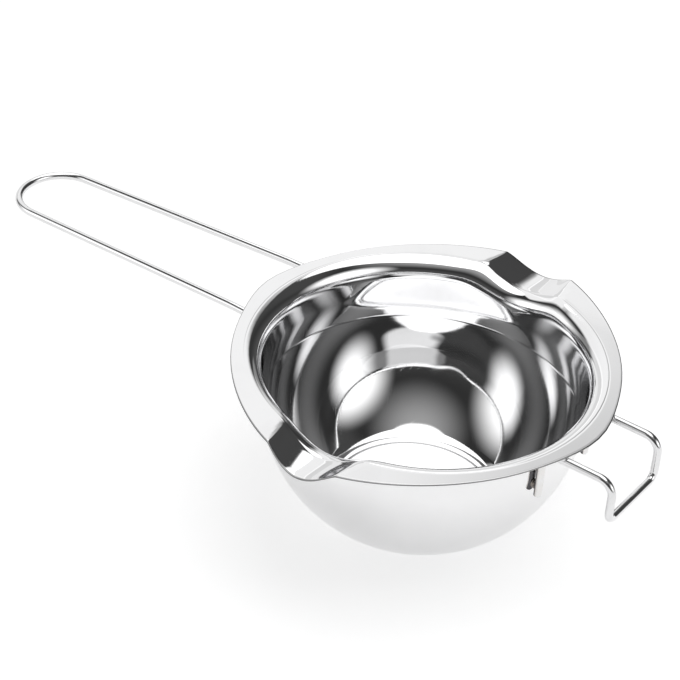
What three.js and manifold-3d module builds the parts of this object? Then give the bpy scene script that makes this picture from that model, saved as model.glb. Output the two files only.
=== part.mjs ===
// Melting pot: a pressed steel bowl with two pouring spouts, a long wire handle and a wire hook,
// all welded. Millimetres, +Z up. The origin is the middle of the flat base. The hook points to +X,
// the handle to -X, and the spouts to +Y and -Y.
import * as THREE from 'three';
import { mergeVertices } from 'three/addons/utils/BufferGeometryUtils.js';
import Module from 'manifold-3d';

const degree = Math.PI / 180;

// Bowl, measured on the inside of the sheet
const sheet = 0.6;
const baseRadius = 30.8; // flat part of the base
const cornerRadius = 8; // between the base and the dome
const domeRadius = 58.5;
const wallRadius = 58.5; // straight wall above the dome
const wallHeight = 8.6;
const shoulderRadius = 6.5; // roll from the wall into the flange
const flangeWidth = 4.3; // from the shoulder to the edge, away from the spouts and the wires

// Flange outline, which reaches further out over the wires and at the spouts
const wireLobe = 2.3;
const wireLobeSpread = 14 * degree;
const spoutLobe = 7.6;
const spoutLobeSpread = 32 * degree;
const lipReach = 1.4; // how far the lip of a spout is drawn out past the flange
const lipSpread = 15 * degree;

// Spouts: round-bottomed troughs pressed into the flange and the shoulder
const spoutWidth = 28.8;
const spoutDepth = 6;
const spoutFade = 16; // height of wall over which the trough dies out below the shoulder

// Wires
const wireRadius = 1.5;
const wireClearance = 0.3; // between a wire and the underside of the flange
const legBend = 4; // centre-line radius where a leg turns out under the flange
const weldGap = 0.5; // between a leg and the wall, bridged by the welds

// Handle
const handleReach = 118.4; // centre line of the tip, past the flange
const handleRootSpacing = 37.2; // between the legs
const handleTipRadius = 15.3;
const handleDroop = 5; // how much lower the tip lies than the root
const handleLegLength = 20;
const droopStart = 4.3; // how far past the flange the handle starts to fall
const droopBend = 60;

// Hook
const hookReach = 17.7; // centre line of the drop, past the flange
const hookSpacing = 31;
const hookDrop = 16.4;
const hookTopBend = 5.5;
const hookFootBend = 3.6;
const hookLegLength = 20;

// Welds: two on each leg, each a nugget that fills the wedge between the leg and the wall
const weldWidth = 4.6;
const weldHeight = 4;
const weldThickness = 2.8;
const weldSkin = 0.15; // clearance of a nugget to the leg and to the wall
const weldEndDistance = 4; // from the end of a leg to its lower weld
const weldPitch = 8;

// Fineness of the facets
const columns = 80; // round the bowl
const spoutColumnShare = 0.35; // share of each quarter's columns that falls in its half of a spout
const domeSteps = 9;
const cornerSteps = 4;
const shoulderSteps = 5;
const fadeSteps = 3;
const flangeSteps = 2;
const wireSides = 10;
const bendStep = 18 * degree;
const weldSides = 16;
const weldRings = 10;
const weldRoomSides = 20;
const mergeDistance = 1e-5; // points closer than this are one point

// Derived heights and places
const domeCentreRadius = wallRadius - domeRadius;
const cornerHeight = sheet + cornerRadius;
const domeCentreHeight = cornerHeight
  + Math.sqrt((domeRadius - cornerRadius) ** 2 - (baseRadius - domeCentreRadius) ** 2);
const shoulderHeight = domeCentreHeight + wallHeight;
const bowlHeight = shoulderHeight + shoulderRadius;
const shoulderTopRadius = wallRadius + shoulderRadius;
const rimRadius = shoulderTopRadius + flangeWidth;
const wireHeight = bowlHeight - sheet - wireClearance - wireRadius;
const cornerEndAngle = Math.atan2(domeCentreHeight - cornerHeight, baseRadius - domeCentreRadius);

const wasm = await Module();
wasm.setup();

const sheetSteel = new THREE.MeshStandardMaterial({ color: 0xd8d9da, roughness: 0.08, metalness: 1 });
const wireSteel = new THREE.MeshStandardMaterial({ color: 0xcfd0d1, roughness: 0.16, metalness: 1 });
const weldSteel = new THREE.MeshStandardMaterial({ color: 0xa9a6a1, roughness: 0.42, metalness: 1 });

// Adds the points of a circular arc to a profile, from one angle to another
function addArc(profile, centreRadius, centreHeight, radius, fromAngle, toAngle, steps) {
  for (let step = 0; step <= steps; step += 1) {
    const angle = fromAngle + (toAngle - fromAngle) * step / steps;
    const across = centreRadius + radius * Math.cos(angle);
    const up = centreHeight + radius * Math.sin(angle);
    profile.push(new THREE.Vector2(across, up));
  }
}

// Half section of one face of the sheet, from the base's middle to the edge of the flange.
// The offset is 0 for the inside face and the sheet thickness for the outside face.
function faceProfile(offset) {
  const profile = [new THREE.Vector2(0, sheet - offset)];
  const turnRadius = cornerRadius + offset;
  addArc(profile, baseRadius, cornerHeight, turnRadius, -90 * degree, -cornerEndAngle, cornerSteps);
  profile.pop();
  addArc(profile, domeCentreRadius, domeCentreHeight, domeRadius + offset, -cornerEndAngle, 0, domeSteps);
  for (let step = 1; step < fadeSteps; step += 1) {
    const up = domeCentreHeight + wallHeight * step / fadeSteps;
    profile.push(new THREE.Vector2(wallRadius + offset, up));
  }
  const rollRadius = shoulderRadius - offset;
  addArc(profile, shoulderTopRadius, shoulderHeight, rollRadius, 180 * degree, 90 * degree, shoulderSteps);
  for (let step = 1; step <= flangeSteps; step += 1) {
    const across = shoulderTopRadius + flangeWidth * step / flangeSteps;
    profile.push(new THREE.Vector2(across, bowlHeight - offset));
  }
  return profile;
}

// Merges a geometry's shared points, so that its faces close up
function closed(geometry) {
  geometry.deleteAttribute('normal');
  geometry.deleteAttribute('uv');
  return mergeVertices(geometry, mergeDistance);
}

// Angle from the middle of the nearest spout, for a share of the quarter turn away from it.
// The first columns keep to straight lines along the trough, and the rest spread to the wires.
function spreadAngle(share, radius) {
  const half = spoutWidth / 2;
  const edgeAngle = Math.asin(half / Math.max(radius, wallRadius));
  if (share <= spoutColumnShare) {
    const sideways = half * share / spoutColumnShare;
    return Math.asin(sideways / Math.max(radius, wallRadius));
  }
  const rest = (share - spoutColumnShare) / (1 - spoutColumnShare);
  return edgeAngle + (Math.PI / 2 - edgeAngle) * rest;
}

// How far the edge of the flange reaches past the plain rim, at an angle from the middle of a spout
function lobeReach(spoutAngle) {
  const wireAngle = Math.PI / 2 - spoutAngle;
  const overWires = wireLobe * Math.exp(-((wireAngle / wireLobeSpread) ** 2));
  const atSpouts = spoutLobe * Math.exp(-((spoutAngle / spoutLobeSpread) ** 2));
  const atLip = lipReach * Math.exp(-((spoutAngle / lipSpread) ** 2));
  return overWires + atSpouts + atLip;
}

// Moves one point of the round bowl to its place in the pressed bowl
function pressPoint(point) {
  const radius = Math.hypot(point.x, point.y);
  if (radius < mergeDistance) {
    return;
  }
  const sideX = Math.sign(point.x);
  const sideY = Math.sign(point.y) || 1;
  const share = Math.atan2(Math.abs(point.x), Math.abs(point.y)) / (Math.PI / 2);
  const onFlange = THREE.MathUtils.clamp((radius - shoulderTopRadius) / flangeWidth, 0, 1);
  const plainAngle = spreadAngle(share, radius);
  const reach = onFlange * lobeReach(plainAngle);
  const angle = spreadAngle(share, radius + reach);
  const across = Math.min(1, share / spoutColumnShare);
  const trough = 1 - across ** 2;
  const far = radius + reach;
  const fade = THREE.MathUtils.smoothstep(point.z, shoulderHeight - spoutFade, shoulderHeight);
  const depth = spoutDepth * trough * fade;
  point.set(sideX * far * Math.sin(angle), sideY * far * Math.cos(angle), point.z - depth);
}

function makeBowl() {
  const inside = faceProfile(0);
  const outside = faceProfile(sheet);
  const profile = [...outside, ...inside.reverse()];
  const geometry = new THREE.LatheGeometry(profile, columns);
  geometry.rotateX(Math.PI / 2);
  const places = geometry.getAttribute('position');
  const point = new THREE.Vector3();
  for (let index = 0; index < places.count; index += 1) {
    point.fromBufferAttribute(places, index);
    pressPoint(point);
    places.setXYZ(index, point.x, point.y, point.z);
  }
  return closed(geometry);
}

// Centre line of a bent wire: straight runs between corners, each corner rounded by its own bend radius
class WireRoute extends THREE.Curve {
  constructor(corners) {
    super();
    this.places = [];
    this.directions = [];
    const last = corners.length - 1;
    this.addStation(corners[0].at, corners[1].at.clone().sub(corners[0].at).normalize());
    for (let index = 1; index < last; index += 1) {
      this.addBend(corners[index - 1].at, corners[index], corners[index + 1].at);
    }
    this.addStation(corners[last].at, corners[last].at.clone().sub(corners[last - 1].at).normalize());
  }

  addStation(place, direction) {
    this.places.push(place.clone());
    this.directions.push(direction.clone());
  }

  addBend(before, corner, after) {
    const arriving = corner.at.clone().sub(before).normalize();
    const leaving = after.clone().sub(corner.at).normalize();
    const turn = arriving.angleTo(leaving);
    const axis = arriving.clone().cross(leaving).normalize();
    const start = corner.at.clone().addScaledVector(arriving, -corner.bend * Math.tan(turn / 2));
    const inward = axis.clone().cross(arriving);
    const centre = start.clone().addScaledVector(inward, corner.bend);
    const steps = Math.ceil(turn / bendStep);
    for (let step = 0; step <= steps; step += 1) {
      const angle = turn * step / steps;
      const place = start.clone().sub(centre).applyAxisAngle(axis, angle).add(centre);
      this.addStation(place, arriving.clone().applyAxisAngle(axis, angle));
    }
  }

  get steps() {
    return this.places.length - 1;
  }

  // The rings of a swept wire stand at the route's own stations
  getUtoTmapping(share) {
    return share;
  }

  getPoint(share, target = new THREE.Vector3()) {
    const position = share * this.steps;
    const index = Math.min(Math.floor(position), this.steps - 1);
    return target.lerpVectors(this.places[index], this.places[index + 1], position - index);
  }

  getTangent(share, target = new THREE.Vector3()) {
    const position = share * this.steps;
    const index = Math.min(Math.floor(position), this.steps - 1);
    target.lerpVectors(this.directions[index], this.directions[index + 1], position - index);
    return target.normalize();
  }
}

function makeWire(corners) {
  const section = new THREE.Shape();
  for (let side = 0; side < wireSides; side += 1) {
    const angle = 2 * Math.PI * side / wireSides;
    const x = wireRadius * Math.cos(angle);
    const y = wireRadius * Math.sin(angle);
    if (side === 0) {
      section.moveTo(x, y);
    } else {
      section.lineTo(x, y);
    }
  }
  section.closePath();
  const route = new WireRoute(corners);
  return closed(new THREE.ExtrudeGeometry(section, {
    steps: route.steps,
    bevelEnabled: false,
    extrudePath: route,
  }));
}

// Outside radius of the bowl's wall at a height, on the straight wall or on the dome below it
function outerWallRadius(height) {
  const below = Math.max(0, domeCentreHeight - height);
  return domeCentreRadius + Math.sqrt((domeRadius + sheet) ** 2 - below ** 2);
}

// Distance of an upright leg's centre line from the pot's middle, along X, where it stands at the wall
function legDistance(halfSpacing) {
  const radius = wallRadius + sheet + weldGap + wireRadius;
  return Math.sqrt(radius ** 2 - halfSpacing ** 2);
}

// The two ends of a leg, on one side (+1 or -1) of a wire that leaves the pot along +X or -X
function legEnds(outward, side, halfSpacing, legLength) {
  const x = outward * legDistance(halfSpacing);
  const y = side * halfSpacing;
  return {
    head: new THREE.Vector3(x, y, wireHeight),
    foot: new THREE.Vector3(x, y, wireHeight - legLength),
  };
}

function handleCorners() {
  const half = handleRootSpacing / 2;
  const rootX = -legDistance(half);
  const tipX = -(rimRadius + handleReach);
  const droopX = -(rimRadius + droopStart);
  const droopShare = (droopX - rootX) / (tipX - rootX);
  const droopHalf = half + (handleTipRadius - half) * droopShare;
  const sideCorners = (side) => {
    const leg = legEnds(-1, side, half, handleLegLength);
    const droop = new THREE.Vector3(droopX, side * droopHalf, wireHeight);
    const tip = new THREE.Vector3(tipX, side * handleTipRadius, wireHeight - handleDroop);
    return [
      { at: leg.foot },
      { at: leg.head, bend: legBend },
      { at: droop, bend: droopBend },
      { at: tip, bend: handleTipRadius },
    ];
  };
  return [...sideCorners(-1), ...sideCorners(1).reverse()];
}

function hookCorners() {
  const half = hookSpacing / 2;
  const dropX = rimRadius + hookReach;
  const sideCorners = (side) => {
    const leg = legEnds(1, side, half, hookLegLength);
    const top = new THREE.Vector3(dropX, side * half, wireHeight);
    const bottom = new THREE.Vector3(dropX, side * half, wireHeight - hookDrop);
    return [
      { at: leg.foot },
      { at: leg.head, bend: legBend },
      { at: top, bend: hookTopBend },
      { at: bottom, bend: hookFootBend },
    ];
  };
  return [...sideCorners(-1), ...sideCorners(1).reverse()];
}

function toSolid(geometry) {
  const merged = closed(geometry);
  const vertProperties = new Float32Array(merged.getAttribute('position').array);
  const triVerts = new Uint32Array(merged.getIndex().array);
  return new wasm.Manifold(new wasm.Mesh({ numProp: 3, vertProperties, triVerts }));
}

function toGeometry(solid) {
  const mesh = solid.getMesh();
  const geometry = new THREE.BufferGeometry();
  geometry.setAttribute('position', new THREE.BufferAttribute(new Float32Array(mesh.vertProperties), 3));
  geometry.setIndex(new THREE.BufferAttribute(new Uint32Array(mesh.triVerts), 1));
  return geometry;
}

// The wall with the welds' clearance round it, as one turned body
function wallClearance() {
  const profile = [new THREE.Vector2(0, cornerHeight)];
  const steps = 2 * domeSteps;
  for (let step = 0; step <= steps; step += 1) {
    const height = cornerHeight + (shoulderHeight - cornerHeight) * step / steps;
    profile.push(new THREE.Vector2(outerWallRadius(height) + weldSkin, height));
  }
  profile.push(new THREE.Vector2(0, shoulderHeight));
  const geometry = new THREE.LatheGeometry(profile, 2 * columns);
  geometry.rotateX(Math.PI / 2);
  return toSolid(geometry);
}

// One nugget on a leg, at a distance from the leg's end
function makeWeld(leg, distance, wall) {
  const along = leg.head.clone().sub(leg.foot).normalize();
  const onLeg = leg.foot.clone().addScaledVector(along, distance);
  const inward = new THREE.Vector3(-onLeg.x, -onLeg.y, 0).normalize();
  const middle = onLeg.clone().addScaledVector(inward, wireRadius);
  const sideways = along.clone().cross(inward).normalize();
  const turn = new THREE.Matrix4().makeBasis(sideways, inward, sideways.clone().cross(inward));
  const blank = new THREE.SphereGeometry(1, weldSides, weldRings);
  blank.scale(weldWidth / 2, weldThickness / 2, weldHeight / 2);
  blank.applyMatrix4(turn);
  blank.translate(middle.x, middle.y, middle.z);
  const roomRadius = wireRadius + weldSkin;
  const room = new THREE.CylinderGeometry(roomRadius, roomRadius, 2 * weldHeight, weldRoomSides);
  room.applyQuaternion(new THREE.Quaternion().setFromUnitVectors(new THREE.Vector3(0, 1, 0), along));
  room.translate(onLeg.x, onLeg.y, onLeg.z);
  return toGeometry(toSolid(blank).subtract(toSolid(room)).subtract(wall));
}

const pot = new THREE.Group();

function addPiece(name, geometry, material) {
  const piece = new THREE.Mesh(geometry, material);
  piece.name = name;
  pot.add(piece);
}

addPiece('bowl', makeBowl(), sheetSteel);
addPiece('handle_wire', makeWire(handleCorners()), wireSteel);
addPiece('hook_wire', makeWire(hookCorners()), wireSteel);

const wall = wallClearance();
const wireEnds = [
  { wire: 'handle', outward: -1, half: handleRootSpacing / 2, legLength: handleLegLength },
  { wire: 'hook', outward: 1, half: hookSpacing / 2, legLength: hookLegLength },
];
const legSides = [
  { sideName: 'near', side: -1 },
  { sideName: 'far', side: 1 },
];
const weldPlaces = [
  { placeName: 'lower', distance: weldEndDistance },
  { placeName: 'upper', distance: weldEndDistance + weldPitch },
];
for (const { wire, outward, half, legLength } of wireEnds) {
  for (const { sideName, side } of legSides) {
    const leg = legEnds(outward, side, half, legLength);
    for (const { placeName, distance } of weldPlaces) {
      addPiece(`${wire}_weld_${sideName}_${placeName}`, makeWeld(leg, distance, wall), weldSteel);
    }
  }
}

export default pot;
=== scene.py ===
import math

import bmesh
import bpy
from mathutils import Matrix, Quaternion, Vector, noise


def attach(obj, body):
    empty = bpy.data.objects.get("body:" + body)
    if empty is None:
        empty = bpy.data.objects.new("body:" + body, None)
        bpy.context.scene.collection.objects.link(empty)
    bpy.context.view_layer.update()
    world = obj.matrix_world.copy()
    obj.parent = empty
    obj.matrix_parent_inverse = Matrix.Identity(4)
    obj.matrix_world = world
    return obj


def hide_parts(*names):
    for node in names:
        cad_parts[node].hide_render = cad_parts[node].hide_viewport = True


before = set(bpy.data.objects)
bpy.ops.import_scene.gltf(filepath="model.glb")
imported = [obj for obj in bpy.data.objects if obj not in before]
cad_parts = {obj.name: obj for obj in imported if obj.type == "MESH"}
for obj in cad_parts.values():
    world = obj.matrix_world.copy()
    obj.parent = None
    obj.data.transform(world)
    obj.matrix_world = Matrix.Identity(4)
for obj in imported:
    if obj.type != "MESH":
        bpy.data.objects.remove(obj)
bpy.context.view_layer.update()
scene = bpy.context.scene
scene.view_settings.view_transform = "Standard"
scene.cycles.max_bounces = 16  # the bowl mirrors itself many times near its rim
scene.cycles.glossy_bounces = 12
mm = 0.001
print("frame loaded with", len(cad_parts), "nodes")


# camera
cameraSetup = {
    "azimuth": 33.27,  # degrees, 0 looks along +Y
    "elevation": 36.30,
    "roll": 4.45,
    "distance": 0.8756,  # metres from the target
    "slideRight": -0.0302,
    "slideUp": 0.0155,
    "targetHeight": 0.0517,
    "lens": 129.4,  # mm
    "sensor": 36,  # mm
}


def viewAxes(setup):
    azimuth = math.radians(setup["azimuth"])
    elevation = math.radians(setup["elevation"])
    right = Vector((math.cos(azimuth), math.sin(azimuth), 0))
    away = Vector((-math.sin(azimuth), math.cos(azimuth), 0))
    back = Vector((0, 0, 1)) * math.sin(elevation) - away * math.cos(elevation)
    return right, away, back


def makeCamera(setup):
    right, away, back = viewAxes(setup)
    roll = Quaternion(back, math.radians(setup["roll"]))
    across = roll @ right
    up = back.cross(across)
    place = Vector((0, 0, setup["targetHeight"])) + back * setup["distance"]
    place += across * setup["slideRight"] + up * setup["slideUp"]
    data = bpy.data.cameras.new("camera")
    data.lens = setup["lens"]
    data.sensor_width = setup["sensor"]
    data.clip_start = 0.01
    camera = bpy.data.objects.new("camera", data)
    camera.matrix_world = Matrix((across, up, back)).transposed().to_4x4()
    camera.location = place
    scene.collection.objects.link(camera)
    scene.camera = camera


makeCamera(cameraSetup)
print("camera placed")


# node helpers
def addNode(tree, kind, inputs=None, **settings):
    node = tree.nodes.new(kind)
    for name, value in settings.items():
        setattr(node, name, value)
    for socket, value in (inputs or {}).items():
        if isinstance(value, bpy.types.NodeSocket):
            tree.links.new(value, node.inputs[socket])
        else:
            node.inputs[socket].default_value = value
    return node


def doMath(tree, operation, first, second=0.0, third=0.0):
    node = addNode(tree, "ShaderNodeMath", {0: first, 1: second, 2: third}, operation=operation)
    return node.outputs[0]


def doVector(tree, operation, first, second):
    node = addNode(tree, "ShaderNodeVectorMath", {0: first, 1: second}, operation=operation)
    return node.outputs["Value" if operation == "DOT_PRODUCT" else "Vector"]


def remap(tree, value, low, high, toLow=0.0, toHigh=1.0, smooth=True):
    node = addNode(tree, "ShaderNodeMapRange", {"Value": value, "From Min": low, "From Max": high,
                                                "To Min": toLow, "To Max": toHigh})
    node.interpolation_type = "SMOOTHSTEP" if smooth else "LINEAR"
    return node.outputs["Result"]


def makeGroup(name, inputs, outputs):
    group = bpy.data.node_groups.new(name, "ShaderNodeTree")
    for label, kind, default in inputs:
        socket = group.interface.new_socket(label, in_out="INPUT", socket_type=kind)
        socket.default_value = default
    for label, kind in outputs:
        group.interface.new_socket(label, in_out="OUTPUT", socket_type=kind)
    start = group.nodes.new("NodeGroupInput")
    end = group.nodes.new("NodeGroupOutput")
    return group, start.outputs, end.inputs


def useGroup(tree, group, inputs):
    return addNode(tree, "ShaderNodeGroup", inputs, node_tree=group).outputs


floatKind = "NodeSocketFloat"
vectorKind = "NodeSocketVector"
colorKind = "NodeSocketColor"


# studio: soft boxes round a dark room, white paper below and behind
studio = {
    "openLight": 0.42,  # even light that the floor gets
    "roomLow": 0.08,  # brightness of the dark room near the horizon
    "roomHigh": 0.032,  # and above it
    "roomFade": (0.05, 0.55),  # heights between which the room goes from one to the other
    "boxes": {  # turn is degrees to the right of straight away from the camera, square 2 is an oval
        "overhead": {"turn": 0, "elevation": 83, "halfWidth": 0.47, "halfHeight": 0.69,
                     "soft": 0.05, "square": 2.4, "glow": 1.4},
        "overCamera": {"turn": 180, "elevation": 66, "halfWidth": 0.42, "halfHeight": 0.42,
                       "soft": 0.97, "square": 2, "glow": 0.36},
        "rightSide": {"turn": 121, "elevation": 21, "halfWidth": 0.42, "halfHeight": 0.32,
                      "soft": 0.75, "square": 2, "glow": 1.7},
        "leftSide": {"turn": -101, "elevation": 16, "halfWidth": 0.41, "halfHeight": 0.37,
                     "soft": 0.92, "square": 2, "glow": 1.7},
        "wideBackdrop": {"turn": -28, "elevation": 20, "halfWidth": 1.29, "halfHeight": 0.15,
                         "soft": 0.10, "square": 6, "glow": 0.20},
        "highBackdrop": {"turn": -20, "elevation": 40, "halfWidth": 0.555, "halfHeight": 0.25,
                         "soft": 0.22, "square": 6, "glow": 0.95},
        "middleBackdrop": {"turn": -17, "elevation": 19.4, "halfWidth": 0.60, "halfHeight": 0.129,
                           "soft": 0.18, "square": 6, "glow": 0.52},
        "lowBackdrop": {"turn": -17, "elevation": 0, "halfWidth": 0.60, "halfHeight": 0.213,
                        "soft": 0.11, "square": 6, "glow": 0.85},
        "faintSheen": {"turn": 39, "elevation": 49, "halfWidth": 1.19, "halfHeight": 0.29,
                       "soft": 0.52, "square": 2, "glow": 0.03},
        "darkFlag": {"turn": 12, "elevation": 40.5, "halfWidth": 0.09, "halfHeight": 0.07,
                     "soft": 0.95, "square": 2, "glow": -0.55},  # takes light away
    },
    "lampTurn": 75,
    "lampElevation": 79,
    "lampDistance": 1.1,
    "lampSize": 1.0,
    "lampPower": 4.5,
}


def makeSoftBoxGroup():
    group, given, result = makeGroup("softBox", [
        ("Direction", vectorKind, (0, 0, 1)), ("Facing", vectorKind, (0, 0, 1)),
        ("Across", vectorKind, (1, 0, 0)), ("Half Width", floatKind, 0.4), ("Half Height", floatKind, 0.4),
        ("Softness", floatKind, 0.1), ("Square", floatKind, 6.0),
    ], [("Mask", floatKind)])
    ahead = doVector(group, "DOT_PRODUCT", given["Direction"], given["Facing"])
    safeAhead = doMath(group, "MAXIMUM", ahead, 0.001)
    upright = doVector(group, "CROSS_PRODUCT", given["Facing"], given["Across"])
    offsets = []
    for axis, half in ((given["Across"], given["Half Width"]), (upright, given["Half Height"])):
        sideways = doVector(group, "DOT_PRODUCT", given["Direction"], axis)
        offset = doMath(group, "DIVIDE", doMath(group, "ABSOLUTE", sideways), safeAhead)
        offsets.append(doMath(group, "POWER", doMath(group, "DIVIDE", offset, half), given["Square"]))
    total = doMath(group, "ADD", offsets[0], offsets[1])
    distance = doMath(group, "POWER", total, doMath(group, "DIVIDE", 1.0, given["Square"]))
    inner = doMath(group, "SUBTRACT", 1.0, given["Softness"])
    outer = doMath(group, "ADD", 1.0, given["Softness"])
    inside = remap(group, distance, inner, outer, 1.0, 0.0)
    mask = doMath(group, "MULTIPLY", inside, doMath(group, "GREATER_THAN", ahead, 0.0))
    group.links.new(mask, result["Mask"])
    return group


def studioDirection(turn, elevation):
    right, away, back = viewAxes(cameraSetup)
    turn = math.radians(turn)
    elevation = math.radians(elevation)
    level = away * math.cos(turn) + right * math.sin(turn)
    return level * math.cos(elevation) + Vector((0, 0, math.sin(elevation)))


def makeWorld():
    world = bpy.data.worlds.new("studio")
    scene.world = world
    world.use_nodes = True
    tree = world.node_tree
    tree.nodes.clear()
    softBox = makeSoftBoxGroup()
    direction = addNode(tree, "ShaderNodeTexCoord").outputs["Generated"]
    height = addNode(tree, "ShaderNodeSeparateXYZ", {0: direction}).outputs["Z"]
    light = remap(tree, height, *studio["roomFade"], studio["roomLow"], studio["roomHigh"])
    for box in studio["boxes"].values():
        facing = studioDirection(box["turn"], box["elevation"])
        across = studioDirection(box["turn"] + 90, 0)
        mask = useGroup(tree, softBox, {
            "Direction": direction, "Facing": facing, "Across": across, "Half Width": box["halfWidth"],
            "Half Height": box["halfHeight"], "Softness": box["soft"], "Square": box["square"],
        })["Mask"]
        light = doMath(tree, "MULTIPLY_ADD", mask, box["glow"], light)
    light = doMath(tree, "MAXIMUM", light, 0.0)
    path = addNode(tree, "ShaderNodeLightPath").outputs
    mirrored = doMath(tree, "MAXIMUM", path["Is Glossy Ray"], path["Is Transmission Ray"])
    level = addNode(tree, "ShaderNodeMix", {"Factor": mirrored, "A": studio["openLight"], "B": light})
    level = addNode(tree, "ShaderNodeMix", {"Factor": path["Is Camera Ray"], "A": level.outputs[0], "B": 1.0})
    background = addNode(tree, "ShaderNodeBackground", {"Color": (1, 1, 1, 1), "Strength": level.outputs[0]})
    output = addNode(tree, "ShaderNodeOutputWorld")
    tree.links.new(background.outputs[0], output.inputs["Surface"])


floorSetup = {
    "radius": 3.0,
    "segments": 96,
    "drop": 0.0002,  # below the base
    "paper": 0.86,
    "paperEdge": (0.60, 1.00),  # metres from the pot over which the paper ends
    "cameraGlow": 0.49,  # brings the lit paper up to white for the camera
    "mirrorGlow": 0.38,  # and near white in the metal
    "mirrorFar": 0.8,  # what the metal shows of the floor beyond the paper
}


def makeFloor(setup):
    mesh = bpy.data.meshes.new("floor")
    shape = bmesh.new()
    bmesh.ops.create_circle(shape, cap_ends=True, segments=setup["segments"], radius=setup["radius"])
    shape.to_mesh(mesh)
    shape.free()
    floor = bpy.data.objects.new("floor", mesh)
    floor.location.z = -setup["drop"]
    scene.collection.objects.link(floor)
    material = bpy.data.materials.new("whitePaper")
    material.use_nodes = True
    tree = material.node_tree
    tree.nodes.clear()
    place = addNode(tree, "ShaderNodeTexCoord").outputs["Object"]
    distance = addNode(tree, "ShaderNodeVectorMath", {0: place}, operation="LENGTH").outputs["Value"]
    onPaper = remap(tree, distance, *setup["paperEdge"], 1.0, 0.0)
    path = addNode(tree, "ShaderNodeLightPath").outputs
    mirrored = doMath(tree, "MAXIMUM", path["Is Glossy Ray"], path["Is Transmission Ray"])
    seen = doMath(tree, "MULTIPLY", mirrored, setup["mirrorGlow"])
    seen = doMath(tree, "MULTIPLY_ADD", path["Is Camera Ray"], setup["cameraGlow"], seen)
    paperGlow = doMath(tree, "MULTIPLY", seen, onPaper)
    farGlow = doMath(tree, "MULTIPLY_ADD", mirrored, setup["mirrorFar"], path["Is Camera Ray"])
    beyond = doMath(tree, "MULTIPLY", farGlow, doMath(tree, "SUBTRACT", 1.0, onPaper))
    strength = doMath(tree, "ADD", paperGlow, beyond)
    tone = doMath(tree, "MULTIPLY", onPaper, setup["paper"])
    diffuse = addNode(tree, "ShaderNodeBsdfDiffuse", {"Color": tone})
    glow = addNode(tree, "ShaderNodeEmission", {"Strength": strength})
    lit = addNode(tree, "ShaderNodeAddShader", {0: diffuse.outputs[0], 1: glow.outputs[0]})
    clear = addNode(tree, "ShaderNodeBsdfTransparent")
    behind = addNode(tree, "ShaderNodeNewGeometry").outputs["Backfacing"]
    mixed = addNode(tree, "ShaderNodeMixShader", {0: behind, 1: lit.outputs[0], 2: clear.outputs[0]})
    output = addNode(tree, "ShaderNodeOutputMaterial")
    tree.links.new(mixed.outputs[0], output.inputs["Surface"])
    mesh.materials.append(material)


def makeLamp():
    data = bpy.data.lights.new("overheadLamp", "AREA")
    data.shape = "SQUARE"
    data.size = studio["lampSize"]
    data.energy = studio["lampPower"]
    lamp = bpy.data.objects.new("overheadLamp", data)
    direction = studioDirection(studio["lampTurn"], studio["lampElevation"])
    lamp.location = direction * studio["lampDistance"]
    lamp.rotation_mode = "QUATERNION"
    lamp.rotation_quaternion = direction.to_track_quat("Z", "Y")
    lamp.visible_glossy = False  # the metal shows the soft boxes instead
    scene.collection.objects.link(lamp)


makeWorld()
makeFloor(floorSetup)
makeLamp()
print("studio lit")


# shared surface effects
def makePolishLines():
    group, given, result = makeGroup("polishLines", [
        ("Place", vectorKind, (0, 0, 0)), ("Density", floatKind, 4000.0),
    ], [("Height", floatKind)])
    parts = addNode(group, "ShaderNodeSeparateXYZ", {0: given["Place"]}).outputs
    squareX = doMath(group, "POWER", parts["X"], 2.0)
    squareY = doMath(group, "POWER", parts["Y"], 2.0)
    radius = doMath(group, "SQRT", doMath(group, "ADD", squareX, squareY))
    turn = doMath(group, "ARCTAN2", parts["Y"], parts["X"])
    across = doMath(group, "MULTIPLY", radius, given["Density"])
    along = doMath(group, "MULTIPLY", parts["Z"], given["Density"])
    lines = addNode(group, "ShaderNodeCombineXYZ", {"X": across, "Y": along, "Z": turn}).outputs[0]
    grain = addNode(group, "ShaderNodeTexNoise", {"Vector": lines, "Scale": 1.0, "Detail": 3.0})
    group.links.new(grain.outputs["Fac"], result["Height"])
    return group


def makeHandlingMarks():
    group, given, result = makeGroup("handlingMarks", [
        ("Place", vectorKind, (0, 0, 0)), ("Scale", floatKind, 40.0), ("Clean", floatKind, 0.03),
        ("Marked", floatKind, 0.1),
    ], [("Roughness", floatKind), ("Tone", floatKind)])
    cloud = addNode(group, "ShaderNodeTexNoise", {
        "Vector": given["Place"], "Scale": given["Scale"], "Detail": 4.0, "Roughness": 0.6,
        "Distortion": 0.4})
    wide = remap(group, cloud.outputs["Fac"], 0.45, 0.72)
    fineScale = doMath(group, "MULTIPLY", given["Scale"], 14.0)
    specks = addNode(group, "ShaderNodeTexVoronoi", {"Vector": given["Place"], "Scale": fineScale})
    dots = remap(group, specks.outputs["Distance"], 0.05, 0.09, 1.0, 0.0)
    chance = addNode(group, "ShaderNodeSeparateColor", {0: specks.outputs["Color"]}).outputs[0]
    rare = remap(group, chance, 0.86, 0.9)  # few of the specks are kept
    dust = doMath(group, "MULTIPLY", dots, rare)
    mark = doMath(group, "MAXIMUM", wide, dust)
    group.links.new(remap(group, mark, 0.0, 1.0, given["Clean"], given["Marked"], False), result["Roughness"])
    group.links.new(remap(group, mark, 0.0, 1.0, 1.0, 0.955, False), result["Tone"])
    return group


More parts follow.
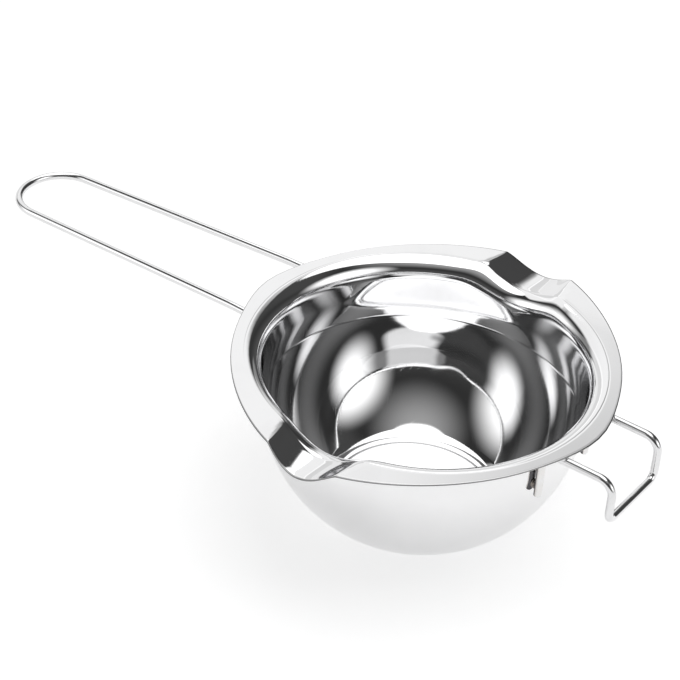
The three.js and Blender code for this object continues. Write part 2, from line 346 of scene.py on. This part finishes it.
def makeFineScratches():
    group, given, result = makeGroup("fineScratches", [
        ("Place", vectorKind, (0, 0, 0)), ("Scale", floatKind, 300.0),
    ], [("Height", floatKind)])
    total = None
    for turn, shift in ((0.5, 0.0), (1.9, 0.37), (2.6, 0.71)):
        turned = addNode(group, "ShaderNodeMapping", {
            "Vector": given["Place"], "Rotation": (0.4 * turn, shift, turn), "Location": (shift, shift, 0)})
        waves = addNode(group, "ShaderNodeTexWave", {
            "Vector": turned.outputs[0], "Scale": given["Scale"], "Distortion": 3.0, "Detail": 1.0,
            "Detail Scale": 0.3})
        thin = remap(group, waves.outputs["Fac"], 0.985, 1.0)
        breaks = addNode(group, "ShaderNodeTexNoise", {
            "Vector": turned.outputs[0], "Scale": 90.0, "Detail": 1.0})
        kept = doMath(group, "MULTIPLY", thin, remap(group, breaks.outputs["Fac"], 0.6, 0.66))
        total = kept if total is None else doMath(group, "MAXIMUM", total, kept)
    group.links.new(doMath(group, "SUBTRACT", 1.0, total), result["Height"])
    return group


scorchAndShadeColors = {  # share of the weld scorch and of the painted shade on the legs' backs, and what it does to the steel's colour; shares above 0.7 come only from the painted leg shade
    0.35: (0.97, 0.95, 0.92, 1),
    0.62: (0.72, 0.68, 0.64, 1),
    0.82: (0.33, 0.32, 0.32, 1),
    1.0: (0.10, 0.10, 0.11, 1),
}
scorchDull = 0.3  # roughness that a full share of scorch and painted shade adds


def makeScorchAndShadeTint():
    group, given, result = makeGroup("scorchAndShadeTint", [
        ("Scorch And Shade", floatKind, 0.0), ("Steel", colorKind, (0.85, 0.85, 0.86, 1)), ("Tone", floatKind, 1.0),
    ], [("Color", colorKind), ("Dull", floatKind)])
    # weld scorch and the painted shade on the legs darken the steel through this ramp
    ramp = addNode(group, "ShaderNodeValToRGB", {"Fac": given["Scorch And Shade"]})
    stops = ramp.color_ramp.elements
    stops[0].color = (1, 1, 1, 1)
    stops[1].color = scorchAndShadeColors[1.0]
    for position, color in list(scorchAndShadeColors.items())[:-1]:
        stops.new(position).color = color
    tinted = addNode(group, "ShaderNodeMix", {"Factor": 1.0, 6: given["Steel"], 7: ramp.outputs[0]},
                     data_type="RGBA", blend_type="MULTIPLY")
    toned = addNode(group, "ShaderNodeVectorMath", {0: tinted.outputs[2], "Scale": given["Tone"]},
                    operation="SCALE")
    group.links.new(toned.outputs[0], result["Color"])
    group.links.new(doMath(group, "MULTIPLY", given["Scorch And Shade"], scorchDull), result["Dull"])
    return group


polishLines = makePolishLines()
handlingMarks = makeHandlingMarks()
fineScratches = makeFineScratches()
scorchAndShadeTint = makeScorchAndShadeTint()

sheetFinish = {
    "steel": (0.88, 0.88, 0.885, 1),
    "clean": 0.025,
    "marked": 0.075,
    "markScale": 26.0,
    "lineDensity": 5200.0,
    "lineDepth": 0.05,
    "waveScale": 22.0,  # slow waves left in the pressing
    "waveDepth": 0.05,
    "scratchScale": 260.0,
    "scratchDepth": 0.06,
    "edgeShadeTone": 0.35,  # painted shade: darkens the rim's rounded edge and the die line near the base, where the metal shows a dark reflection
    "cutDull": 0.25,  # and rougher
}
wireFinish = {
    "steel": (0.82, 0.82, 0.825, 1),
    "clean": 0.10,
    "marked": 0.20,
    "markScale": 90.0,
    "drawDepth": 0.10,  # fine lines along the drawn wire
    "drawLines": 6.0,  # how close they lie round the wire
    "drawStretch": 0.02,  # and how fast they change along it
    "scratchScale": 420.0,
    "scratchDepth": 0.08,
}
weldFinish = {
    "steel": (0.58, 0.56, 0.54, 1),
    "clean": 0.34,
    "marked": 0.55,
    "markScale": 700.0,
    "grainScale": 2600.0,
    "grainDepth": 0.35,
}


def startMetal(name, finish):
    material = bpy.data.materials.new(name)
    material.use_nodes = True
    tree = material.node_tree
    shader = tree.nodes["Principled BSDF"]
    shader.inputs["Metallic"].default_value = 1.0
    place = addNode(tree, "ShaderNodeTexCoord").outputs["Object"]
    marks = useGroup(tree, handlingMarks, {
        "Place": place, "Scale": finish["markScale"], "Clean": finish["clean"], "Marked": finish["marked"]})
    # weld scorch, plus painted shade on the legs' backs
    scorchAndShadeLevel = addNode(tree, "ShaderNodeAttribute", attribute_name="scorchAndShade").outputs["Fac"]
    tone = marks["Tone"]
    # painted shade: the edge mask darkens the colour at the rim's edge and at the base die line
    if finish.get("edgeShadeTone"):
        edgeShade = addNode(tree, "ShaderNodeAttribute", attribute_name="edgeShadeMask").outputs["Fac"]
        tone = doMath(tree, "MULTIPLY", tone, remap(tree, edgeShade, 0.0, 1.0, 1.0, finish["edgeShadeTone"], False))
    tint = useGroup(tree, scorchAndShadeTint, {"Scorch And Shade": scorchAndShadeLevel, "Steel": finish["steel"], "Tone": tone})
    tree.links.new(tint["Color"], shader.inputs["Base Color"])
    return material, tree, shader, place, marks, tint


def addBump(tree, shader, heights):
    normal = None
    for height, strength, distance in heights:
        bump = addNode(tree, "ShaderNodeBump", {"Height": height, "Strength": strength, "Distance": distance})
        if normal is not None:
            tree.links.new(normal, bump.inputs["Normal"])
        normal = bump.outputs[0]
    tree.links.new(normal, shader.inputs["Normal"])


def makeSheetSteel(finish):
    material, tree, shader, place, marks, tint = startMetal("polishedSheet", finish)
    edgeShade = addNode(tree, "ShaderNodeAttribute", attribute_name="edgeShadeMask").outputs["Fac"]
    dull = doMath(tree, "MULTIPLY_ADD", edgeShade, finish["cutDull"], marks["Roughness"])
    tree.links.new(doMath(tree, "ADD", dull, tint["Dull"]), shader.inputs["Roughness"])
    lines = useGroup(tree, polishLines, {"Place": place, "Density": finish["lineDensity"]})["Height"]
    scratches = useGroup(tree, fineScratches, {"Place": place, "Scale": finish["scratchScale"]})["Height"]
    waves = addNode(tree, "ShaderNodeTexNoise", {
        "Vector": place, "Scale": finish["waveScale"], "Detail": 1.0})
    addBump(tree, shader, [(waves.outputs["Fac"], finish["waveDepth"], 2 * mm),
                           (lines, finish["lineDepth"], 0.02 * mm),
                           (scratches, finish["scratchDepth"], 0.02 * mm)])
    return material


def makeWireSteel(finish):
    material, tree, shader, place, marks, tint = startMetal("drawnWire", finish)
    tree.links.new(doMath(tree, "ADD", marks["Roughness"], tint["Dull"]), shader.inputs["Roughness"])
    drawn = addNode(tree, "ShaderNodeAttribute", attribute_name="drawn").outputs["Vector"]
    lines = addNode(tree, "ShaderNodeTexNoise", {"Vector": drawn, "Scale": 1.0, "Detail": 2.0})
    scratches = useGroup(tree, fineScratches, {"Place": place, "Scale": finish["scratchScale"]})["Height"]
    addBump(tree, shader, [(lines.outputs["Fac"], finish["drawDepth"], 0.03 * mm),
                           (scratches, finish["scratchDepth"], 0.02 * mm)])
    return material


def makeWeldSteel(finish):
    material, tree, shader, place, marks, tint = startMetal("weldMetal", finish)
    tree.links.new(doMath(tree, "ADD", marks["Roughness"], tint["Dull"]), shader.inputs["Roughness"])
    grain = addNode(tree, "ShaderNodeTexNoise", {
        "Vector": place, "Scale": finish["grainScale"], "Detail": 3.0})
    addBump(tree, shader, [(grain.outputs["Fac"], finish["grainDepth"], 0.1 * mm)])
    return material


sheetSteel = makeSheetSteel(sheetFinish)
wireSteel = makeWireSteel(wireFinish)
weldSteel = makeWeldSteel(weldFinish)
print("steel finishes made")


# mesh helpers
def ringMesh(name, rings, attributes):
    # each ring is a list of points, and a ring of one point is a pole
    points = [point * mm for ring in rings for point in ring]
    starts = [0]
    for ring in rings:
        starts.append(starts[-1] + len(ring))
    faces = []
    for index in range(len(rings) - 1):
        lower, upper = len(rings[index]), len(rings[index + 1])
        count = max(lower, upper)
        for step in range(count):
            after = (step + 1) % count
            a, b = starts[index] + step % lower, starts[index] + after % lower
            c, d = starts[index + 1] + after % upper, starts[index + 1] + step % upper
            faces.append(list(dict.fromkeys((a, b, c, d))))  # a pole's corners fall together
    mesh = bpy.data.meshes.new(name)
    mesh.from_pydata(points, [], faces)
    for label, kind, values in attributes:
        layer = mesh.attributes.new(label, kind, "POINT")
        key = "vector" if kind == "FLOAT_VECTOR" else "value"
        layer.data.foreach_set(key, values)
    shape = bmesh.new()
    shape.from_mesh(mesh)
    bmesh.ops.recalc_face_normals(shape, faces=shape.faces)
    shape.to_mesh(mesh)
    shape.free()
    mesh.shade_smooth()
    return mesh


def addPiece(name, mesh, material, node):
    piece = bpy.data.objects.new(name, mesh)
    scene.collection.objects.link(piece)
    mesh.materials.append(material)
    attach(piece, "root")
    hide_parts(node)


def smoothShare(value, low, high):
    share = min(1.0, max(0.0, (value - low) / (high - low)))
    return share * share * (3 - 2 * share)


# bowl, in millimetres
bowlSizes = {
    "sheet": 0.6,
    "baseRadius": 30.8,
    "cornerRadius": 8.0,
    "domeRadius": 58.5,
    "wallRadius": 58.5,
    "wallHeight": 8.598,  # a hair under the solid's, so that the rim stays inside its box
    "shoulderRadius": 6.5,
    "flangeWidth": 4.3,
    "wireLobe": 2.3,
    "wireLobeSpread": 14.0,  # degrees
    "spoutLobe": 7.6,
    "spoutLobeSpread": 32.0,  # degrees
    "lipReach": 1.39,  # also a hair short
    "lipSpread": 15.0,  # degrees
    "spoutWidth": 28.8,
    "spoutDepth": 6.0,
    "spoutFade": 16.0,
    "edgePower": 1.3,  # above 1 rounds a spout's two edges
    "throatPower": 0.9,  # more rounding where a spout runs into the wall
    "throatSpread": 0.6,
    "throatLift": 0.25,  # a spout is shallower there
    "baseLine": (0.10, 0.34),  # depth and half width of the die line near the base's edge
    "baseLineRadius": 29.6,
    "baseLineShade": 0.9,  # painted shade: how much of the edge's darkening the die line gets
    "wallLine": (0.025, 0.30),  # of the one round the upper dome
    "wallLineHeight": 40.0,
    "shoulderLine": (0.05, 0.25),  # and of the one between the shoulder and the flange
}
bowlDetail = {  # points along the profile and round the bowl
    "base": 5,
    "baseLine": 24,
    "corner": 16,
    "dome": 26,
    "wallLine": 20,
    "upperDome": 5,
    "wall": 8,
    "shoulder": 12,
    "shoulderLine": 8,
    "flange": 6,
    "rimEdge": 8,
    "lineSpan": 3,  # half widths on each side of a die line that get close points
    "spoutColumns": 16,  # columns over half a spout
    "restColumns": 26,  # and from there to the wires
    "crowding": 1.5,  # above 1 brings columns closer to a spout's edge
}
cornerHeight = bowlSizes["sheet"] + bowlSizes["cornerRadius"]
domeCentre = bowlSizes["wallRadius"] - bowlSizes["domeRadius"]
cornerOffset = bowlSizes["baseRadius"] - domeCentre
cornerReach = bowlSizes["domeRadius"] - bowlSizes["cornerRadius"]
domeHeight = cornerHeight + math.sqrt(cornerReach ** 2 - cornerOffset ** 2)
shoulderHeight = domeHeight + bowlSizes["wallHeight"]
bowlHeight = shoulderHeight + bowlSizes["shoulderRadius"]
shoulderTop = bowlSizes["wallRadius"] + bowlSizes["shoulderRadius"]
rimRadius = shoulderTop + bowlSizes["flangeWidth"]


def arcPoints(centreRadius, centreHeight, radius, startAngle, endAngle, steps):
    points = []
    for step in range(steps + 1):
        angle = math.radians(startAngle + (endAngle - startAngle) * step / steps)
        points.append((centreRadius + radius * math.cos(angle), centreHeight + radius * math.sin(angle)))
    return points


def dieLine(place, linePlace, line):
    # a shallow groove that the edge of the press tool leaves in the inside face
    depth, halfWidth = line
    return depth * math.exp(-((place - linePlace) / halfWidth) ** 2)


def sheetFace(offset):
    sizes = bowlSizes
    detail = bowlDetail
    fineBase, fineWall, fineShoulder = (detail["lineSpan"] * sizes[line][1]
                                        for line in ("baseLine", "wallLine", "shoulderLine"))
    floorHeight = sizes["sheet"] - offset
    fineStart = sizes["baseLineRadius"] - fineBase
    line = [(fineStart * step / detail["base"], floorHeight) for step in range(1, detail["base"])]
    for step in range(detail["baseLine"]):
        line.append((fineStart + 2 * fineBase * step / detail["baseLine"], floorHeight))
    cornerEnd = math.degrees(math.atan2(domeHeight - cornerHeight, cornerOffset))
    line += arcPoints(sizes["baseRadius"], cornerHeight, sizes["cornerRadius"] + offset, -90, -cornerEnd,
                      detail["corner"])[:-1]
    lineAngle = math.degrees(math.asin((sizes["wallLineHeight"] - domeHeight) / sizes["domeRadius"]))
    lineSpan = math.degrees(fineWall / sizes["domeRadius"])
    for startAngle, endAngle, steps in ((-cornerEnd, lineAngle - lineSpan, detail["dome"]),
                                        (lineAngle - lineSpan, lineAngle + lineSpan, detail["wallLine"]),
                                        (lineAngle + lineSpan, 0, detail["upperDome"])):
        line += arcPoints(domeCentre, domeHeight, sizes["domeRadius"] + offset, startAngle, endAngle,
                          steps)[:-1]
    for step in range(detail["wall"]):
        line.append((sizes["wallRadius"] + offset, domeHeight + sizes["wallHeight"] * step / detail["wall"]))
    fineAngle = 90 + math.degrees(fineShoulder / sizes["shoulderRadius"])
    for startAngle, endAngle, steps in ((180, fineAngle, detail["shoulder"]),
                                        (fineAngle, 90, detail["shoulderLine"])):
        line += arcPoints(shoulderTop, shoulderHeight, sizes["shoulderRadius"] - offset, startAngle, endAngle,
                          steps)[:-1]
    flangeHeight = bowlHeight - offset
    for step in range(detail["shoulderLine"]):
        line.append((shoulderTop + fineShoulder * step / detail["shoulderLine"], flangeHeight))
    flatStart = shoulderTop + fineShoulder
    flat = sizes["flangeWidth"] - sizes["sheet"] / 2 - fineShoulder
    for step in range(detail["flange"] + 1):
        line.append((flatStart + flat * step / detail["flange"], flangeHeight))
    if offset:
        return line
    grooved = []
    for radius, height in line:
        drop = dieLine(radius, sizes["baseLineRadius"], sizes["baseLine"]) if height < cornerHeight else 0.0
        if height > shoulderHeight:
            drop += dieLine(radius, shoulderTop, sizes["shoulderLine"])
        push = dieLine(height, sizes["wallLineHeight"], sizes["wallLine"])
        grooved.append((radius + push, height - drop))
    return grooved


def columnShares():
    inner, outer = bowlDetail["spoutColumns"], bowlDetail["restColumns"]
    crowding = bowlDetail["crowding"]
    shares = [("spout", 1 - (1 - step / inner) ** crowding) for step in range(inner)]
    shares += [("rest", (step / outer) ** crowding) for step in range(outer + 1)]
    return shares


def columnAngle(part, share, radius):
    reach = max(radius, bowlSizes["wallRadius"])
    half = bowlSizes["spoutWidth"] / 2
    if part == "spout":
        return math.asin(half * share / reach)
    edge = math.asin(half / reach)
    return edge + (math.pi / 2 - edge) * share


def lobeReach(angle):
    toWire = math.degrees(math.pi / 2 - angle)
    toSpout = math.degrees(angle)
    overWires = bowlSizes["wireLobe"] * math.exp(-((toWire / bowlSizes["wireLobeSpread"]) ** 2))
    atSpouts = bowlSizes["spoutLobe"] * math.exp(-((toSpout / bowlSizes["spoutLobeSpread"]) ** 2))
    atLip = bowlSizes["lipReach"] * math.exp(-((toSpout / bowlSizes["lipSpread"]) ** 2))
    return overWires + atSpouts + atLip


def spoutTrough(across, radius):
    # share of a spout's depth, greatest along its middle and 0 beyond its edges
    throat = 1 - smoothShare(radius, bowlSizes["wallRadius"], rimRadius)
    across /= 1 + bowlSizes["throatSpread"] * throat
    depth = 1 - bowlSizes["throatLift"] * throat
    return depth * max(0.0, 1 - across ** 2) ** (bowlSizes["edgePower"] + bowlSizes["throatPower"] * throat)


def pressedPoint(radius, height, part, share):
    # first quarter only, measured from the middle of a spout towards a wire
    onFlange = min(1.0, max(0.0, (radius - shoulderTop) / bowlSizes["flangeWidth"]))
    reach = onFlange * lobeReach(columnAngle(part, share, radius))
    angle = columnAngle(part, share, radius + reach)
    across = max(radius + reach, bowlSizes["wallRadius"]) * math.sin(angle) / (bowlSizes["spoutWidth"] / 2)
    trough = spoutTrough(across, radius)
    far = radius + reach
    fade = smoothShare(height, shoulderHeight - bowlSizes["spoutFade"], shoulderHeight)
    return far * math.sin(angle), far * math.cos(angle), height - bowlSizes["spoutDepth"] * trough * fade


def bowlRing(radius, height):
    # a quarter from a spout to a wire, mirrored round the bowl
    quarter = [pressedPoint(radius, height, part, share) for part, share in columnShares()]
    ring = quarter + [(x, -y, z) for x, y, z in reversed(quarter[:-1])]
    ring += [(-x, -y, z) for x, y, z in quarter[1:]]
    ring += [(-x, y, z) for x, y, z in reversed(quarter[1:-1])]
    return [Vector(point) for point in ring]


def makeBowl():
    inside = sheetFace(0)
    outside = sheetFace(bowlSizes["sheet"])
    half = bowlSizes["sheet"] / 2
    edge = arcPoints(rimRadius - half, bowlHeight - half, half, 90, -90, bowlDetail["rimEdge"])[1:-1]
    profile = inside + edge + outside[::-1]
    rings = [[Vector((0, 0, bowlSizes["sheet"]))]]
    rings += [bowlRing(radius, height) for radius, height in profile]
    rings += [[Vector((0, 0, 0))]]
    edgeShadeMask = [0.0]
    # marks where painted shade goes: the rim's edge, and the die line near the base
    for index, (radius, height) in enumerate(profile):
        mark = 1.0 if (radius, height) in edge else 0.0
        if index < len(inside) and height < cornerHeight:
            darkLine = (bowlSizes["baseLineShade"], bowlSizes["baseLine"][1])
            mark = dieLine(radius, bowlSizes["baseLineRadius"], darkLine)
        edgeShadeMask += [mark] * len(rings[1])
    edgeShadeMask.append(0.0)
    scorchAndShadeLevel = []
    for index, ring in enumerate(rings):
        strength = 0.0 if index <= len(inside) else scorchAndLegShade["bowl"]  # on the outer face only
        scorchAndShadeLevel += [weldHeat(point, strength) for point in ring]
    return ringMesh("bowl_pressing", rings, [("edgeShadeMask", "FLOAT", edgeShadeMask), ("scorchAndShade", "FLOAT", scorchAndShadeLevel)])


# wires, in millimetres
wireSizes = {
    "radius": 1.5,
    "sides": 20,
    "clearance": 0.3,
    "weldGap": 0.5,  # between a leg and the wall
    "legBend": 4.0,
    "bendStep": 6.0,  # degrees between rings in a bend
    "legStep": 0.5,  # between rings on a leg
    "endRings": ((0.0, 0.62), (0.12, 0.86), (0.45, 1.0)),  # distance from an end and share of the radius
    "flatDepth": 0.08,  # how much a weld presses the wire's outer side flat
    "flatCore": 1.19,  # full out to this distance from a weld's middle
    "flatReach": 1.7,  # and gone at this one
}
handleSizes = {
    "reach": 118.4,
    "spacing": 37.2,
    "tipRadius": 15.3,
    "droop": 5.0,
    "droopStart": 4.3,
    "droopBend": 60.0,
    "legLength": 20.0,
}
hookSizes = {
    "reach": 17.64,  # a hair short of the solid's
    "spacing": 31.0,
    "drop": 16.4,
    "topBend": 5.5,
    "footBend": 3.6,
    "legLength": 20.0,
}
weldSizes = {
    "width": 2.7,
    "height": 3.6,
    "thickness": 1.2,
    "endDistance": 4.0,
    "pitch": 8.0,
    "rings": 14,
    "sides": 24,
    "lumps": 0.16,
    "lumpScale": 2.2,
    "lumpShift": 0.37,  # makes each bead's lumps different
    "outset": 0.1,  # keeps the beads out of the bowl's inside
}
scorchAndLegShade = {  # dark colour left by the welding, and painted shade on the side of each leg that faces the wall
    "core": 1.2,  # full out to this distance from a weld's middle
    "reach": 5.5,  # and gone at this one
    "bowl": 0.2,
    "wire": 0.22,
    "bead": 0.7,
    "legBackShade": 0.95,  # painted shade on the side of a leg that faces the wall
    "legEdge": (-0.3, 0.15),  # shares of the wire's radius over which that side begins
    "legSpan": 4.0,  # how far from the wall a leg's middle can be
}
wireHeight = bowlHeight - bowlSizes["sheet"] - wireSizes["clearance"] - wireSizes["radius"]


def legDistance(half):
    reach = bowlSizes["wallRadius"] + bowlSizes["sheet"] + wireSizes["weldGap"] + wireSizes["radius"]
    return math.sqrt(reach ** 2 - half ** 2)


def legEnds(outward, side, sizes):
    half = sizes["spacing"] / 2
    x = outward * legDistance(half)
    return Vector((x, side * half, wireHeight - sizes["legLength"])), Vector((x, side * half, wireHeight))


def weldPlaces():
    # name of each weld's CAD node, with its middle on the wire and the way up along the leg
    places = {}
    for wire, outward, sizes in (("handle", -1, handleSizes), ("hook", 1, hookSizes)):
        for sideName, side in (("near", -1), ("far", 1)):
            foot, head = legEnds(outward, side, sizes)
            along = (head - foot).normalized()
            for levelName, lift in (("lower", 0.0), ("upper", weldSizes["pitch"])):
                middle = foot + along * (weldSizes["endDistance"] + lift)
                places[f"{wire}_weld_{sideName}_{levelName}"] = (middle, along)
    return places


welds = weldPlaces()


def weldHeat(point, strength):
    nearest = min((point - middle).length for middle, along in welds.values())
    return strength * (1 - smoothShare(nearest, scorchAndLegShade["core"], scorchAndLegShade["reach"]))


def bentRoute(corners):
    # list of (place, direction) along straight runs and rounded corners
    stations = [(corners[0][0], (corners[1][0] - corners[0][0]).normalized())]
    for index in range(1, len(corners) - 1):
        corner, bend = corners[index]
        arriving = (corner - corners[index - 1][0]).normalized()
        leaving = (corners[index + 1][0] - corner).normalized()
        turn = arriving.angle(leaving)
        axis = arriving.cross(leaving).normalized()
        start = corner - arriving * bend * math.tan(turn / 2)
        centre = start + axis.cross(arriving) * bend
        steps = max(1, math.ceil(math.degrees(turn) / wireSizes["bendStep"]))
        for step in range(steps + 1):
            swing = Quaternion(axis, turn * step / steps)
            stations.append((centre + swing @ (start - centre), swing @ arriving))
    stations.append((corners[-1][0], (corners[-1][0] - corners[-2][0]).normalized()))
    return stations


def splitLegs(stations):
    # extra rings on the first and last run, where the welds are
    def between(first, second):
        steps = max(1, int((second[0] - first[0]).length / wireSizes["legStep"]))
        return [(first[0].lerp(second[0], step / steps), first[1]) for step in range(1, steps)]
    head = [stations[0]] + between(stations[0], stations[1])
    tail = between(stations[-2], stations[-1]) + [stations[-1]]
    return head + stations[1:-1] + tail


def wireRing(place, direction, side, scale):
    radius = wireSizes["radius"] * scale
    other = direction.cross(side)
    ring = []
    for step in range(wireSizes["sides"]):
        angle = 2 * math.pi * step / wireSizes["sides"]
        ring.append(place + side * radius * math.cos(angle) + other * radius * math.sin(angle))
    return ring


def legShade(point, place):
    # painted shade: the side of a leg that faces the wall is darkened, as it lies in shadow
    onLeg = Vector((place.x, place.y)).length < bowlSizes["wallRadius"] + scorchAndLegShade["legSpan"]
    if place.z > wireHeight - wireSizes["legBend"] or not onLeg:
        return 0.0
    inward = Vector((-place.x, -place.y, 0)).normalized()
    share = (point - place).dot(inward) / wireSizes["radius"]
    return scorchAndLegShade["legBackShade"] * smoothShare(share, *scorchAndLegShade["legEdge"])


def pressFlat(ring, place):
    # a weld's electrode leaves a small flat on the outer side of the leg
    nearest = min((place - middle).length for middle, along in welds.values())
    reach = wireSizes["flatReach"]
    depth = wireSizes["flatDepth"] * (1 - smoothShare(nearest, wireSizes["flatCore"], reach))
    if depth <= 0:
        return ring
    outward = Vector((place.x, place.y, 0)).normalized()
    limit = wireSizes["radius"] - depth
    return [point - outward * max(0.0, (point - place).dot(outward) - limit) for point in ring]


def makeWire(name, corners):
    lines, stretch = wireFinish["drawLines"], wireFinish["drawStretch"]
    stations = splitLegs(bentRoute(corners))
    side = stations[0][1].orthogonal().normalized()
    rings = [[stations[0][0]]]
    drawn = [(0.0, 0.0, 0.0)]
    scorchAndShadeLevel = [0.0]
    length = 0.0
    last = len(stations) - 1
    for index, (place, direction) in enumerate(stations):
        if index:
            side = (stations[index - 1][1].rotation_difference(direction) @ side).normalized()
            length += (place - stations[index - 1][0]).length
        endRings = [(0.0, 1.0)]
        if index == 0:
            endRings = wireSizes["endRings"]
        elif index == last:
            endRings = [(-shift, scale) for shift, scale in reversed(wireSizes["endRings"])]
        for shift, scale in endRings:
            centre = place + direction * shift
            rings.append(pressFlat(wireRing(centre, direction, side, scale), centre))
            # weld scorch, and painted shade on each leg's side that faces the wall
            scorchAndShadeLevel += [max(weldHeat(point, scorchAndLegShade["wire"]), legShade(point, centre)) for point in rings[-1]]
            for step in range(wireSizes["sides"]):
                angle = 2 * math.pi * step / wireSizes["sides"]
                drawn.append((lines * math.cos(angle), lines * math.sin(angle), stretch * length))
    rings.append([stations[last][0]])
    drawn.append((0.0, 0.0, stretch * length))
    scorchAndShadeLevel.append(0.0)
    values = [value for triple in drawn for value in triple]
    return ringMesh(name, rings, [("scorchAndShade", "FLOAT", scorchAndShadeLevel), ("drawn", "FLOAT_VECTOR", values)])


def handleCorners():
    half = handleSizes["spacing"] / 2
    rootX = -legDistance(half)
    tipX = -(rimRadius + handleSizes["reach"])
    droopX = -(rimRadius + handleSizes["droopStart"])
    droopHalf = half + (handleSizes["tipRadius"] - half) * (droopX - rootX) / (tipX - rootX)

    def oneSide(side):
        foot, head = legEnds(-1, side, handleSizes)
        droop = Vector((droopX, side * droopHalf, wireHeight))
        tip = Vector((tipX, side * handleSizes["tipRadius"], wireHeight - handleSizes["droop"]))
        return [(foot, 0), (head, wireSizes["legBend"]), (droop, handleSizes["droopBend"]),
                (tip, handleSizes["tipRadius"])]
    return oneSide(-1) + oneSide(1)[::-1]


def hookCorners():
    half = hookSizes["spacing"] / 2
    dropX = rimRadius + hookSizes["reach"]

    def oneSide(side):
        foot, head = legEnds(1, side, hookSizes)
        top = Vector((dropX, side * half, wireHeight))
        bottom = Vector((dropX, side * half, wireHeight - hookSizes["drop"]))
        return [(foot, 0), (head, wireSizes["legBend"]), (top, hookSizes["topBend"]),
                (bottom, hookSizes["footBend"])]
    return oneSide(-1) + oneSide(1)[::-1]


def makeWeld(name, middle, along):
    # a slightly lumpy bead that runs into both the leg and the wall
    inward = Vector((-middle.x, -middle.y, 0)).normalized()
    sideways = along.cross(inward).normalized()
    centre = middle + inward * (wireSizes["radius"] + wireSizes["weldGap"] / 2 - weldSizes["outset"])
    halves = (weldSizes["width"] / 2, weldSizes["thickness"] / 2, weldSizes["height"] / 2)
    rings = []
    for ring in range(weldSizes["rings"] + 1):
        tilt = math.pi * ring / weldSizes["rings"]
        count = 1 if ring in (0, weldSizes["rings"]) else weldSizes["sides"]
        points = []
        for step in range(count):
            angle = 2 * math.pi * step / weldSizes["sides"]
            unit = Vector((math.sin(tilt) * math.cos(angle), math.sin(tilt) * math.sin(angle),
                           math.cos(tilt)))
            wobble = noise.noise(unit * weldSizes["lumpScale"] + middle * weldSizes["lumpShift"])
            lump = 1 + weldSizes["lumps"] * wobble
            points.append(centre + (sideways * unit.x * halves[0] + inward * unit.y * halves[1]
                                    + along * unit.z * halves[2]) * lump)
        rings.append(points)
    scorchAndShadeLevel = [weldHeat(point, scorchAndLegShade["bead"]) for ring in rings for point in ring]
    return ringMesh(name, rings, [("scorchAndShade", "FLOAT", scorchAndShadeLevel)])


addPiece("bowl_pressing", makeBowl(), sheetSteel, "bowl")
print("bowl pressed")
addPiece("handle_loop", makeWire("handle_loop", handleCorners()), wireSteel, "handle_wire")
addPiece("hook_loop", makeWire("hook_loop", hookCorners()), wireSteel, "hook_wire")
print("wires bent")
for node, (middle, along) in welds.items():
    name = node.replace("weld", "weld_bead")
    addPiece(name, makeWeld(name, middle, along), weldSteel, node)
print("welds laid")
